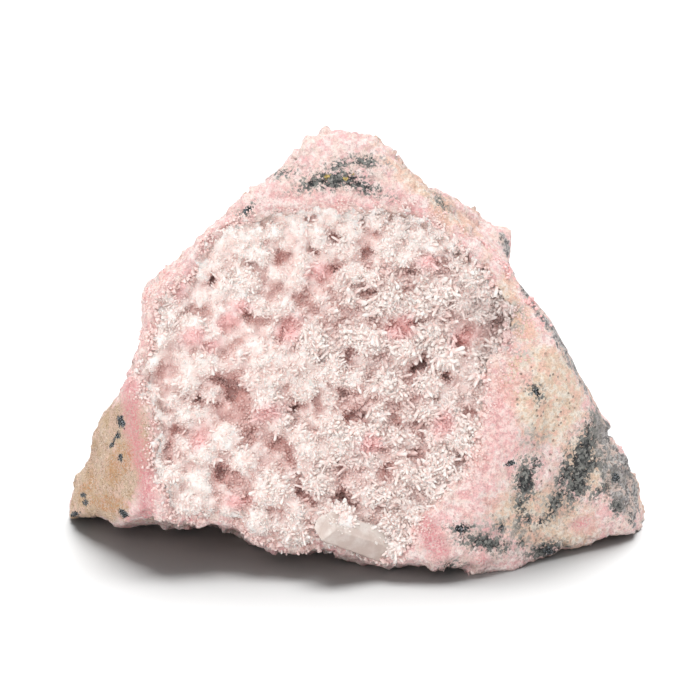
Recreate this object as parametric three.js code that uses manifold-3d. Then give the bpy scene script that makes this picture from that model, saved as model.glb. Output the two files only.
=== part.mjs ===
// A hand-sized rhodochrosite specimen: a three-cornered piece of pink carbonate rock, broken out of a vein,
// whose broad face is an open pocket lined with small quartz crystals, with one large milky crystal at its foot.
//
// Three separate solids, in millimetres, +Z up:
//   matrix_rock    the pink, buff and grey rock, with the shallow basin of the pocket in its broad face
//   quartz_druse   the crust of small crystals, one solid from the basin up to the crystals' tips
//   milky_crystal  the large six-sided crystal that lies in the foot of the crust
//
// The rock is described in the axes of its broad face, which leans back:
//   across (+X), up (along the leaning face) and deep (into the rock, square to the face).
// Each skin is found by walking outwards from one point inside the rock until it leaves the described shape.

import * as THREE from "three";
import { mergeVertices } from "three/addons/utils/BufferGeometryUtils.js";
import { ImprovedNoise } from "three/addons/math/ImprovedNoise.js";
import Module from "manifold-3d";

// ---------- Driving dimensions ----------

const FACE_LEAN = THREE.MathUtils.degToRad(20); // the broad face leans back this far from upright
const FACE_HEIGHT = 36; // height of the point where the face's own axes start
const FACE_FLARE = 1 / 311; // how much the rock widens, per millimetre behind its face
const EDGE_ROUND = 3; // radius where the broad face turns into the sides
const CORE = new THREE.Vector3(0, 14, 24); // the point inside the rock that every skin is walked out from

const POCKET_DEPTH = 6.5; // deepest part of the crystal pocket
const POCKET_SLOPE = 0.38; // steepest slope of the pocket's wall
const CRUST_GAP = 0.45; // radial gap between the rock and the crust, 0.3 mm or more square to it
const CRUST_DIVE = 0.8; // slope at which the crust's skin goes under the rock outside the pocket
const CRUST_LUMP = { size: 8, height: 0.7 }; // the mounds that the crystals grow in

const CRYSTAL_RADIUS = 3.2; // centre to corner of the large crystal's hexagon
const CRYSTAL_TIP_LENGTH = 3.6; // length of its six-sided point
const CRYSTAL_TIP = [-7, -26.2, -0.6]; // across, up, deep
const CRYSTAL_ROOT = [6.5, -31.6, 5.2];
const CRYSTAL_GAP = 0.35; // space round it in the crust and the rock

const ROUGHNESS_BANDS = [
  { size: 17, height: 1.1 },
  { size: 6, height: 0.55 },
]; // broken surface: swells and chips

const FOOT_CUT = [200, 200, 60]; // the block taken off below the resting plane
const ROCK_DETAIL = 15; // icosahedron subdivisions: 20 * (detail + 1)^2 triangles
const CRUST_DETAIL = 15;
const WALK_STEP = 0.6;
const WALK_LIMIT = 90;
const DIRECTION_SPREAD = new THREE.Vector3(1.35, 0.85, 1.1); // more triangles towards the far corners

// Outline of the broad face, clockwise from the summit, as [across, up].
const FACE_OUTLINE = [
  [0, 36], [3, 35], [8, 30.5], [12, 27.5], [15.5, 24.5], [21.5, 20], [25.5, 14],
  [31.5, 4.5], [36.5, -4], [40, -10], [41, -13.5], [45, -20.5], [46, -24], [46.5, -28.5],
  [46, -30], [38, -32], [31.5, -34.5], [26, -35], [18, -35], [12.5, -34], [5, -35],
  [2, -34], [-3.5, -32.5], [-9, -33], [-16, -30.5], [-18.5, -28], [-27.5, -28], [-30.5, -27],
  [-35, -29], [-38, -27], [-40.5, -26.5], [-44, -29], [-46, -27], [-43.5, -21], [-40, -16],
  [-40, -12.5], [-36.5, -7], [-32.5, 2], [-32.5, 10], [-29, 12.5], [-25.5, 15.5], [-24, 18.5],
  [-19.5, 21.5], [-16.5, 24.5], [-10.5, 29], [-8.5, 32.5], [-5.5, 35.5],
];

// Rim of the crystal pocket, clockwise. It runs out past the rock's lower edge, where the crystals form the edge.
const POCKET_OUTLINE = [
  [-17.5, 21.5], [-8, 23.5], [8, 24], [14.5, 21.5], [20, 18], [24, 13], [26.5, 6.5], [27, 1],
  [24, -3.5], [22.5, -8], [21, -14.5], [19, -20], [16, -25], [12, -27.5], [11, -31], [8, -42],
  [-32, -42], [-30.5, -28], [-32, -22.5], [-32.5, -13], [-34, -5.5], [-33.5, 0], [-32.2, 8],
  [-30.5, 10.5], [-25, 14.5], [-23, 18], [-20.5, 20],
];

// Broken facets beside the broad face. Each starts to fall back where across * a + up * b + c passes zero,
// and that sum is its depth behind the face.
const FACE_FACETS = [
  { name: "buff left corner", across: -1.52, up: -0.28, start: -55.2 },
  { name: "right shoulder", across: 0.58, up: -0.29, start: -18.9 },
  { name: "grey right side", across: 2.12, up: 0.05, start: -78.7 },
  { name: "upper right bevel", across: 4.2, up: 4.65, start: -170 },
];

// Planes that the back is broken along: a point on each, and its outward direction.
const BACK_PLANES = [
  { name: "back", at: [0, 37, 0], faces: [0.05, 0.97, 0.2] },
  { name: "back left", at: [-50, 19, 0], faces: [-0.6, 0.78, 0.18] },
  { name: "back right", at: [51, 14, 0], faces: [0.62, 0.77, 0.12] },
  { name: "behind the summit", at: [0, 25, 66], faces: [0.1, 0.75, 0.65] },
  { name: "upper left", at: [-20, 15, 58], faces: [-0.45, 0.6, 0.66] },
  { name: "upper right", at: [25, 24, 52], faces: [0.55, 0.55, 0.62] },
  { name: "low back left", at: [-22, 33, 5], faces: [-0.3, 0.75, -0.55] },
  { name: "low back right", at: [30, 31, 7], faces: [0.25, 0.8, -0.5] },
  { name: "low left", at: [-50.5, 16, 2], faces: [-0.6, 0.45, -0.6] },
].map(({ at, faces }) =>
  new THREE.Plane().setFromNormalAndCoplanarPoint(
    new THREE.Vector3(...faces).normalize(),
    new THREE.Vector3(...at),
  ),
);

// A horn of rock that stands out behind the right edge, as a box in the face's axes.
const HORN = new THREE.Box3(new THREE.Vector3(17, 9, 11), new THREE.Vector3(26.6, 20.2, 25));

const COLOURS = {
  matrix_rock: { color: 0xe6bdb0, roughness: 0.85, metalness: 0 },
  quartz_druse: { color: 0xecdcd6, roughness: 0.35, metalness: 0 },
  milky_crystal: { color: 0xf2ebe4, roughness: 0.25, metalness: 0 },
};

// ---------- The axes of the broad face ----------

const FACE_UP = new THREE.Vector3(0, Math.sin(FACE_LEAN), Math.cos(FACE_LEAN));
const FACE_IN = new THREE.Vector3(0, Math.cos(FACE_LEAN), -Math.sin(FACE_LEAN));
const FACE_START = new THREE.Vector3(0, 0, FACE_HEIGHT);

function toFace(point) {
  const offset = point.clone().sub(FACE_START);
  return new THREE.Vector3(point.x, offset.dot(FACE_UP), offset.dot(FACE_IN));
}

function fromFace([across, up, deep]) {
  return FACE_START.clone()
    .addScaledVector(new THREE.Vector3(1, 0, 0), across)
    .addScaledVector(FACE_UP, up)
    .addScaledVector(FACE_IN, deep);
}

// ---------- Plane outlines ----------

// Distance from (x, y) to the outline's nearest edge: above zero inside it, below zero outside.
function depthInside(outline, x, y) {
  let nearest = Infinity;
  let inside = false;
  outline.forEach(([x1, y1], i) => {
    const [x2, y2] = outline[(i + 1) % outline.length];
    const [ex, ey] = [x2 - x1, y2 - y1];
    const along = THREE.MathUtils.clamp(((x - x1) * ex + (y - y1) * ey) / (ex * ex + ey * ey), 0, 1);
    nearest = Math.min(nearest, Math.hypot(x - x1 - along * ex, y - y1 - along * ey));
    if (y1 > y !== y2 > y && x < x1 + ((y - y1) / ey) * ex) inside = !inside;
  });
  return inside ? nearest : -nearest;
}

// ---------- The shape of the rock ----------

// How far the front surface lies behind the plane of the broad face: its facets and rounded edge.
function faceDepth(across, up, edge) {
  const facets = FACE_FACETS.map((f) => f.across * across + f.up * up + f.start);
  const short = Math.max(EDGE_ROUND - edge, 0);
  const rounding = EDGE_ROUND - Math.sqrt(Math.max(EDGE_ROUND ** 2 - short ** 2, 0));
  return Math.max(0, ...facets) + rounding;
}

// The basin of the pocket: its wall slopes down from the rim and levels out at its full depth.
function pocketDepth(across, up) {
  const fromRim = Math.max(depthInside(POCKET_OUTLINE, across, up), 0);
  return POCKET_DEPTH * (1 - Math.exp((-POCKET_SLOPE * fromRim) / POCKET_DEPTH));
}

// The crust's skin is level with the face over the pocket, and goes under the rock around it.
function crustDive(across, up) {
  return CRUST_DIVE * Math.max(-depthInside(POCKET_OUTLINE, across, up), 0);
}

// Whether a point is in the block that the outline, the back planes and a front surface enclose.
function inBlock(point, extraDepth) {
  if (BACK_PLANES.some((plane) => plane.distanceToPoint(point) > 0)) return false;
  const face = toFace(point);
  if (HORN.containsPoint(face)) return true;
  const flare = 1 + face.z * FACE_FLARE;
  const [across, up] = [face.x / flare, face.y / flare];
  const edge = depthInside(FACE_OUTLINE, across, up);
  return edge > 0 && face.z > faceDepth(across, up, edge) + extraDepth(across, up);
}

const noise = new ImprovedNoise();

function lumps(point, { size, height }) {
  return height * noise.noise(point.x / size + 9.3, point.y / size + 4.1, point.z / size + 2.7);
}

// Distance from CORE to the edge of the block along a direction: steps out, then halves the last step.
function walkOut(direction, extraDepth) {
  const at = (reach) => CORE.clone().addScaledVector(direction, reach);
  let reach = 0;
  while (reach < WALK_LIMIT && inBlock(at(reach), extraDepth)) reach += WALK_STEP;
  let [near, far] = [reach - WALK_STEP, reach];
  for (let i = 0; i < 12; i++) {
    const middle = (near + far) / 2;
    if (inBlock(at(middle), extraDepth)) near = middle;
    else far = middle;
  }
  return near;
}

// A closed skin round CORE. bands roughen it, and swell moves all of it outwards.
function skin(detail, extraDepth, bands, swell = 0) {
  const ball = new THREE.IcosahedronGeometry(1, detail);
  ball.deleteAttribute("normal");
  ball.deleteAttribute("uv");
  const geometry = mergeVertices(ball);
  const position = geometry.attributes.position;
  const direction = new THREE.Vector3();
  for (let i = 0; i < position.count; i++) {
    direction.fromBufferAttribute(position, i).multiply(DIRECTION_SPREAD).normalize();
    const surface = CORE.clone().addScaledVector(direction, walkOut(direction, extraDepth));
    const rise = bands.reduce((sum, band) => sum + lumps(surface, band), swell);
    surface.addScaledVector(direction, rise);
    position.setXYZ(i, surface.x, surface.y, surface.z);
  }
  return geometry;
}

// ---------- Solids and booleans ----------

const wasm = await Module();
wasm.setup();

function toSolid(geometry) {
  const bare = geometry.clone();
  bare.deleteAttribute("normal");
  bare.deleteAttribute("uv");
  const merged = mergeVertices(bare, 1e-3);
  const corners = [];
  const index = merged.index.array;
  for (let i = 0; i < index.length; i += 3) {
    const [a, b, c] = [index[i], index[i + 1], index[i + 2]];
    if (a !== b && b !== c && a !== c) corners.push(a, b, c);
  }
  return new wasm.Manifold(
    new wasm.Mesh({
      numProp: 3,
      vertProperties: merged.attributes.position.array,
      triVerts: new Uint32Array(corners),
    }),
  );
}

function toGeometry(solid) {
  const mesh = solid.getMesh();
  return new THREE.BufferGeometry()
    .setAttribute("position", new THREE.BufferAttribute(mesh.vertProperties, 3))
    .setIndex(new THREE.BufferAttribute(mesh.triVerts, 1));
}

// A cut can leave crumbs beside the piece: the largest body is the piece.
function largestBody(solid) {
  return solid.decompose().sort((a, b) => b.volume() - a.volume())[0];
}

// ---------- The pieces ----------

// The large crystal, swollen all round by a gap for the space that it lies in.
function crystalGeometry(gap) {
  const tip = fromFace(CRYSTAL_TIP);
  const root = fromFace(CRYSTAL_ROOT);
  const length = tip.distanceTo(root);
  const radius = CRYSTAL_RADIUS + gap;
  const profile = [
    [0, -gap],
    [radius, -gap],
    [radius, length - CRYSTAL_TIP_LENGTH],
    [0, length + gap],
  ].map(([r, h]) => new THREE.Vector2(r, h));
  const geometry = new THREE.LatheGeometry(profile, 6);
  const along = tip.clone().sub(root).normalize();
  geometry.applyQuaternion(new THREE.Quaternion().setFromUnitVectors(new THREE.Vector3(0, 1, 0), along));
  return geometry.translate(root.x, root.y, root.z);
}

const crustBands = [...ROUGHNESS_BANDS, CRUST_LUMP];
const belowFoot = toSolid(new THREE.BoxGeometry(...FOOT_CUT).translate(0, 0, -FOOT_CUT[2] / 2));
const crystalSpace = toSolid(crystalGeometry(CRYSTAL_GAP));
const rockSkin = skin(ROCK_DETAIL, pocketDepth, ROUGHNESS_BANDS);
const rockWithGap = skin(ROCK_DETAIL, pocketDepth, ROUGHNESS_BANDS, CRUST_GAP);
const crustSkin = skin(CRUST_DETAIL, crustDive, crustBands);

const rock = toSolid(rockSkin).subtract(crystalSpace).subtract(belowFoot);
const crust = toSolid(crustSkin).subtract(toSolid(rockWithGap)).subtract(crystalSpace).subtract(belowFoot);

function piece(name, geometry) {
  const flat = geometry.toNonIndexed();
  flat.computeVertexNormals();
  const mesh = new THREE.Mesh(flat, new THREE.MeshStandardMaterial(COLOURS[name]));
  mesh.name = name;
  return mesh;
}

const specimen = new THREE.Group();
specimen.add(
  piece("matrix_rock", toGeometry(largestBody(rock))),
  piece("quartz_druse", toGeometry(largestBody(crust))),
  piece("milky_crystal", toGeometry(toSolid(crystalGeometry(0)))),
);

// The origin is on the resting plane, under the middle of the specimen's box.
const box = new THREE.Box3().setFromObject(specimen);
const middle = box.getCenter(new THREE.Vector3());
specimen.position.set(-middle.x, -middle.y, -box.min.z);

export default specimen;
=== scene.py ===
# %% [markdown]
# # A rhodochrosite specimen
#
# The specimen is a block of pink carbonate rock, broken out of a vein, with an open pocket in its broad
# face. Small quartz crystals line the pocket, and one large milky crystal lies at its foot. The packed
# solids give the sizes and places. This script grows the fine surface round them, in metres.

# %% Load the solids
import bmesh
import bpy
import math
import numpy as np
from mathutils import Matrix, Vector, noise
from mathutils.bvhtree import BVHTree
from types import SimpleNamespace


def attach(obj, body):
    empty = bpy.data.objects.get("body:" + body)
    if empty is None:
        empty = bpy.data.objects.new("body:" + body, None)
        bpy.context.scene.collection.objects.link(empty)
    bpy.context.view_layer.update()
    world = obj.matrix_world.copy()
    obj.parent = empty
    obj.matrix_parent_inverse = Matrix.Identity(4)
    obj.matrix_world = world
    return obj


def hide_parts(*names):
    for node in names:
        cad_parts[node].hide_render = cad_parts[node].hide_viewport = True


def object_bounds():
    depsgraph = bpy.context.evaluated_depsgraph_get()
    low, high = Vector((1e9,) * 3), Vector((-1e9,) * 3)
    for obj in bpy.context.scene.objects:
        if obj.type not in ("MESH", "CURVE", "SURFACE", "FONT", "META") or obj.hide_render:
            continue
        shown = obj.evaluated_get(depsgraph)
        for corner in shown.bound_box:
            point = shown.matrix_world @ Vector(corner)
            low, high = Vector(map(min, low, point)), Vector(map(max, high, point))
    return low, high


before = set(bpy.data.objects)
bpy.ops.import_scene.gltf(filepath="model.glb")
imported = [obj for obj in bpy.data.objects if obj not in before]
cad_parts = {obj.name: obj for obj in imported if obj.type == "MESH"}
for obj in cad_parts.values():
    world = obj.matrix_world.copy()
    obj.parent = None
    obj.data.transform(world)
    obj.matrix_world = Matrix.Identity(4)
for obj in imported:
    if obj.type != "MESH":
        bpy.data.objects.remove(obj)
cad_low, cad_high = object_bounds()
scene = bpy.context.scene
MM = 0.001
print("solid size in mm:", [round(side / MM, 1) for side in cad_high - cad_low])

# %% [markdown]
# ## The axes of the broad face
#
# The broad face leans back by 20 degrees, so places on it are easiest to give in its own axes: across to
# the right, up along the leaning face, and deep into the rock. They are in millimetres. The rock widens a
# little behind the face, and the flare takes that out again, so that a marking on the face and the edge
# behind it share one pair of numbers.

# %% The face's axes
FACE_LEAN = math.radians(20)
FACE_START = Vector((cad_low.x + 49.0 * MM, cad_low.y + 11.8 * MM, 36 * MM))
FACE_ACROSS = Vector((1, 0, 0))
FACE_UP = Vector((0, math.sin(FACE_LEAN), math.cos(FACE_LEAN)))
FACE_IN = Vector((0, math.cos(FACE_LEAN), -math.sin(FACE_LEAN)))
FACE_REACH = 311  # the flare's sight lines meet this far in front of the face


def on_face(points):
    """Across, up and deep of each point, in millimetres, with the flare taken out."""
    offset = (np.asarray(points, float) - np.array(FACE_START)) / MM
    deep = offset @ np.array(FACE_IN)
    flare = 1 + deep / FACE_REACH
    return offset[:, 0] / flare, offset @ np.array(FACE_UP) / flare, deep


def from_face(across, up, deep):
    """The point in the row frame that lies there on the face's axes."""
    return FACE_START + MM * (across * FACE_ACROSS + up * FACE_UP + deep * FACE_IN)


print("face starts at", [round(c / MM, 1) for c in FACE_START])

# %% [markdown]
# ## The camera
#
# A long lens from a little above keeps the specimen's proportions. It looks straight at the leaning face,
# so it stands 20 degrees above the table.

# %% Camera
def aim(thing, place, target):
    """Puts a camera or lamp at a place, facing a target."""
    thing.location = place
    thing.rotation_mode = "QUATERNION"
    thing.rotation_quaternion = (target - place).to_track_quat("-Z", "Y")


camera = bpy.data.objects.new("camera", bpy.data.cameras.new("camera"))
scene.collection.objects.link(camera)
scene.camera = camera
camera.data.lens = 100
camera.data.sensor_width = 36
camera.data.clip_start = 10 * MM
aim(camera, FACE_START - FACE_REACH * MM * FACE_IN, FACE_START)
print("camera stands", round((camera.location - FACE_START).length / MM), "mm from the face")

# %% [markdown]
# ## Table and lamps
#
# The specimen stands on a white table under a wide soft light, with a weaker one in front. Sun lamps with
# a wide angle are used, because each lights the whole table evenly, as a large lit ceiling does. Light
# linking gives the table a lamp of its own and hides the front lamp from it: so the table turns out white,
# the leaning face is bright, and the gap under the rock stays dark.

# %% Table and lamps
def ceiling_light(name, strength, wide, place):
    """A lamp as wide as part of a lit ceiling, in degrees, shining from the direction of a place."""
    lamp = bpy.data.lights.new(name, "SUN")
    lamp.energy = strength
    lamp.angle = math.radians(wide)
    holder = bpy.data.objects.new(name, lamp)
    scene.collection.objects.link(holder)
    aim(holder, place, Vector((0, 0, 0)))
    return holder


ABOVE = Vector((0.06, 0.32, 1))
IN_FRONT = Vector((-0.3, -0.8, 0.8))
ceiling_light("lamp_above", strength=2.0, wide=50, place=ABOVE)
table_light = ceiling_light("lamp_table", strength=7.6, wide=40, place=ABOVE)
front_light = ceiling_light("lamp_front", strength=1.8, wide=60, place=IN_FRONT)

FLOOR_HALF = 6.0
FLOOR_CORNERS = [(-1, -1), (1, -1), (1, 1), (-1, 1)]
floor_mesh = bpy.data.meshes.new("floor")
floor_mesh.from_pydata([(x * FLOOR_HALF, y * FLOOR_HALF, 0) for x, y in FLOOR_CORNERS], [], [(0, 1, 2, 3)])
floor = bpy.data.objects.new("floor", floor_mesh)
scene.collection.objects.link(floor)
for lamp, state in ((table_light, "INCLUDE"), (front_light, "EXCLUDE")):
    lit = bpy.data.collections.new(lamp.name + "_table")
    lit.objects.link(floor)
    lit.collection_objects[0].light_linking.link_state = state
    lamp.light_linking.receiver_collection = lit

# %% [markdown]
# ## The pale room
#
# The room is plain white where it is seen or mirrored, but as a light it is weaker, or it would wash out
# the shadows in the pits. A Light Path node tells the two kinds of ray apart.

# %% Room
ROOM_SEEN = 1.0
ROOM_LIGHT = 0.42
scene.view_settings.view_transform = "Standard"
scene.view_settings.look = "None"
world = bpy.data.worlds.new("pale_room")
scene.world = world
world.use_nodes = True
backdrop = world.node_tree.nodes["Background"]
backdrop.inputs["Color"].default_value = (1, 1, 1, 1)
ray = world.node_tree.nodes.new("ShaderNodeLightPath")
share = world.node_tree.nodes.new("ShaderNodeMapRange")
share.inputs["To Min"].default_value = ROOM_SEEN
share.inputs["To Max"].default_value = ROOM_LIGHT
world.node_tree.links.new(ray.outputs["Is Diffuse Ray"], share.inputs["Value"])
world.node_tree.links.new(share.outputs["Result"], backdrop.inputs["Strength"])
print("the room lights with", ROOM_LIGHT, "of its brightness")

# %% [markdown]
# ## Wiring nodes as sums
#
# Materials and growth rules are both graphs of nodes. A wire wraps one output socket and lends it Python's
# own arithmetic, so that `1 - mask * 0.3` adds its Math nodes by itself. A graph adds any other node from
# its type, its settings and what its sockets get. That keeps a recipe as short as the sentence that says
# it.

# %% Wires and graphs
class Wire:
    """One output socket, on which arithmetic adds Math nodes."""

    def __init__(self, graph, socket):
        self.graph = graph
        self.socket = socket

    def sum_with(self, operation, first, second):
        return self.graph.add("ShaderNodeMath", {"operation": operation}, {0: first, 1: second})

    def __add__(self, other):
        return self.sum_with("ADD", self, other)

    def __sub__(self, other):
        return self.sum_with("SUBTRACT", self, other)

    def __rsub__(self, other):
        return self.sum_with("SUBTRACT", other, self)

    def __mul__(self, other):
        return self.sum_with("MULTIPLY", self, other)

    __radd__ = __add__
    __rmul__ = __mul__

    def more(self, name):
        """Another output of the same node."""
        return Wire(self.graph, self.socket.node.outputs[name])


class Graph:
    """A node tree, with one method that adds any node."""

    def __init__(self, tree):
        self.tree = tree

    def add(self, kind, settings=None, inputs=None, out=0):
        node = self.tree.nodes.new(kind)
        for name, value in (settings or {}).items():
            setattr(node, name, value)
        for name, value in (inputs or {}).items():
            self.feed(node.inputs[name], value)
        return Wire(self, node.outputs[out]) if len(node.outputs) else node

    def feed(self, socket, value):
        if isinstance(value, Wire):
            self.tree.links.new(value.socket, socket)
        elif isinstance(value, tuple) and len(value) == 3 and socket.type == "RGBA":
            socket.default_value = (*value, 1)
        else:
            socket.default_value = value

    def blend(self, share, first, second, how="MIX"):
        """One colour over another, by a share from 0 to 1."""
        inputs = {0: share, 6: first, 7: second}
        return self.add("ShaderNodeMix", {"data_type": "RGBA", "blend_type": how}, inputs, 2)

    def step(self, value, low, high):
        """A smooth step: 0 up to low, 1 from high on."""
        inputs = {0: value, 1: low, 2: high}
        return self.add("ShaderNodeMapRange", {"interpolation_type": "SMOOTHSTEP"}, inputs)

    def mottle(self, first, second, texture, low, high, share=None):
        """A second colour over the first wherever a texture passes a smooth step."""
        mask = self.step(texture, low, high)
        return self.blend(mask * share if share else mask, first, second)

    def own(self, name):
        """A number that the mesh carries at each point, for a material."""
        return self.add("ShaderNodeAttribute", {"attribute_name": name}, out="Fac")


print("a graph can:", [name for name in vars(Graph) if not name.startswith("_")])

# %% [markdown]
# ## Colours and grain
#
# Colours are given from 0 to 255, as a paint shop would, and turned into Blender's linear light. Noise is
# given by the size of its lumps in millimetres, so that a recipe can be compared with a ruler on a real
# stone.

# %% Materials in general
def linear_light(level):
    """A level from 0 to 255 as linear light from 0 to 1."""
    if level <= 10:
        return level / 255 / 12.92
    return ((level / 255 + 0.055) / 1.055) ** 2.4


def srgb(red, green, blue):
    """A colour given from 0 to 255, as Blender's linear light."""
    return tuple(linear_light(level) for level in (red, green, blue))


def new_material(name):
    """An empty material with its graph, its surface shader and the Object coordinates."""
    material = bpy.data.materials.new(name)
    material.use_nodes = True
    graph = Graph(material.node_tree)
    shader = material.node_tree.nodes["Principled BSDF"]
    place = graph.add("ShaderNodeTexCoord", out="Object")
    return material, graph, shader, place


def grain(graph, place, size, detail=2.0, rough=0.5):
    """Noise from 0 to 1 in lumps of a size in millimetres."""
    inputs = {"Vector": place, "Scale": 1 / (size * MM), "Detail": detail, "Roughness": rough}
    return graph.add("ShaderNodeTexNoise", {}, inputs)


def cells(graph, place, size, output):
    """Small cells of a size in millimetres: the distance to each middle, or each cell's own colour."""
    return graph.add("ShaderNodeTexVoronoi", {}, {"Vector": place, "Scale": 1 / (size * MM)}, output)


def let_light_soak(shader, weight, radius, reach):
    """How much light soaks in, how far for red, green and blue, and the reach in millimetres."""
    shader.inputs["Subsurface Weight"].default_value = weight
    shader.inputs["Subsurface Radius"].default_value = radius
    shader.inputs["Subsurface Scale"].default_value = reach * MM


TABLE_GREY = 0.38
material, graph, shader, place = new_material("white_table")
shader.inputs["Base Color"].default_value = (TABLE_GREY, TABLE_GREY, TABLE_GREY, 1)
shader.inputs["Roughness"].default_value = 0.9
shader.inputs["Specular IOR Level"].default_value = 0.1
floor.data.materials.append(material)
print("table material:", material.name)

# %% [markdown]
# ## One skin for the whole block
#
# The rock and the crust on it are two solids with a hair's gap. For the looks they need one unbroken skin
# of small even faces, which can then be pushed about. Sculpting by hand would do it too, but a voxel
# remesh gives the same skin on each run: the crust is swollen to close the gap, both are joined, and the
# joined shape is rebuilt from small cubes.

# %% Join the solids into one skin
CRUST_GAP = 0.45 * MM


def merged_copy(node):
    """A copy of a solid's mesh with its loose triangles joined."""
    work = bmesh.new()
    work.from_mesh(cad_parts[node].data)
    bmesh.ops.remove_doubles(work, verts=work.verts, dist=0.001 * MM)
    work.normal_update()
    return work


def joined_solids():
    """The rock and the swollen crust and crystal in one object."""
    whole = bmesh.new()
    for node, swell in [("matrix_rock", 0), ("quartz_druse", CRUST_GAP), ("milky_crystal", CRUST_GAP)]:
        work = merged_copy(node)
        shifts = [vertex.normal * swell for vertex in work.verts]
        for vertex, shift in zip(work.verts, shifts):
            vertex.co += shift
        part = bpy.data.meshes.new(node + "_part")
        work.to_mesh(part)
        work.free()
        whole.from_mesh(part)
    mesh = bpy.data.meshes.new("matrix")
    whole.to_mesh(mesh)
    whole.free()
    joined = bpy.data.objects.new("matrix", mesh)
    scene.collection.objects.link(joined)
    return joined


def apply_modifiers(piece):
    """Turns a piece and its modifiers into a plain mesh."""
    graph = bpy.context.evaluated_depsgraph_get()
    ready = bpy.data.meshes.new_from_object(piece.evaluated_get(graph))
    piece.modifiers.clear()
    piece.data = ready


def remesh(piece, size, rounds):
    """Rebuilds a piece as one skin of even faces and smooths it a few rounds."""
    cubes = piece.modifiers.new("even faces", "REMESH")
    cubes.mode = "VOXEL"
    cubes.voxel_size = size
    soften = piece.modifiers.new("soften", "SMOOTH")
    soften.factor = 0.5
    soften.iterations = rounds
    apply_modifiers(piece)


def points_of(mesh):
    """The mesh's points as rows of x, y, z."""
    flat = np.empty(len(mesh.vertices) * 3, np.float32)
    mesh.vertices.foreach_get("co", flat)
    return flat.reshape(-1, 3).astype(float)


def normals_of(mesh):
    """The direction that the surface faces at each point."""
    flat = np.empty(len(mesh.vertices) * 3, np.float32)
    mesh.vertex_normals.foreach_get("vector", flat)
    return flat.reshape(-1, 3).astype(float)


def move_points(mesh, points):
    """Sets the mesh's points."""
    mesh.vertices.foreach_set("co", points.astype(np.float32).ravel())
    mesh.update()


def carry(mesh, name, values):
    """Stores a number, or a direction, at each of the mesh's points."""
    direction = values.ndim == 2
    store = mesh.attributes.new(name, "FLOAT_VECTOR" if direction else "FLOAT", "POINT")
    store.data.foreach_set("vector" if direction else "value", values.astype(np.float32).ravel())


def triangles(mesh):
    """How many triangles a mesh comes to."""
    return sum(len(face.vertices) - 2 for face in mesh.polygons)


FIRST_FACE = 0.5 * MM
block = joined_solids()
remesh(block, FIRST_FACE, 2)
print("first skin:", len(block.data.vertices), "points")

# %% [markdown]
# ## Noise and distances
#
# Everything that grows or breaks is described by two kinds of number at each point: how far it lies from
# something, and some noise. Noise of one size looks like dough, so the rock sums several sizes.

# %% Helpers for distances and noise
def noise_start(seed):
    """A place far off in the noise, so that each seed has noise of its own."""
    return Vector((seed * 7.31, seed * 3.17, seed * 5.71))


def lumps(points, size, seed, octaves=2):
    """Noise from about -1 to 1, in lumps of a size in millimetres."""
    shift = noise_start(seed)
    scale = 1 / (size * MM)
    return np.array([noise.fractal(Vector(p) * scale + shift, 1.0, 2.0, octaves) for p in points])


def rise(values, low, high):
    """A smooth step from 0 at low to 1 at high."""
    share = np.clip((values - low) / (high - low), 0, 1)
    return share * share * (3 - 2 * share)


def within(across, up, patches):
    """Millimetres inside the nearest patch: each is (across, up, half length, half width, turn in degrees)."""
    best = np.full(len(across), -99.0)
    for middle_across, middle_up, half_long, half_wide, turn in patches:
        c, s = math.cos(math.radians(turn)), math.sin(math.radians(turn))
        x, y = across - middle_across, up - middle_up
        long_way = (x * c + y * s) / half_long
        wide_way = (y * c - x * s) / half_wide
        reach = np.sqrt(long_way ** 2 + wide_way ** 2)
        best = np.maximum(best, (1 - reach) * min(half_long, half_wide))
    return best


def beside(across, up, route, half_width):
    """Millimetres inside a band that follows a route of (across, up) points."""
    best = np.full(len(across), 99.0)
    for (x1, y1), (x2, y2) in zip(route, route[1:]):
        ex, ey = x2 - x1, y2 - y1
        along = np.clip(((across - x1) * ex + (up - y1) * ey) / (ex * ex + ey * ey), 0, 1)
        best = np.minimum(best, np.hypot(across - x1 - along * ex, up - y1 - along * ey))
    return half_width - best


def search_tree(piece):
    """A tree that finds the nearest place on a piece's skin."""
    return BVHTree.FromObject(piece, bpy.context.evaluated_depsgraph_get())


def millimetres_from(tree, points):
    """How far each point lies from a solid's skin."""
    return np.array([tree.find_nearest(Vector(p))[3] for p in points]) / MM


def millimetres_under(tree, points):
    """How deep each point lies inside a solid, or less than 0 outside it."""
    found = [(Vector(p), *tree.find_nearest(Vector(p))[:2]) for p in points]
    depths = [math.copysign((p - place).length, (place - p).dot(normal)) for p, place, normal in found]
    return np.array(depths) / MM


rock_skin = search_tree(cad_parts["matrix_rock"])
crust_solid = search_tree(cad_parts["quartz_druse"])
outer_skin = search_tree(block)
print("search trees over the rock, the crust and the joined skin are ready")

# %% [markdown]
# ## The pocket's bed
#
# The pocket grew as a sponge of quartz clumps with open pits between them. The crust's thickness, measured
# from the rock solid, says where the pocket is. Its skin is first sunk by the height of the clumps and the
# crystals on them, so that the crystals' tips come back up to the solid's own surface.

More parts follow.
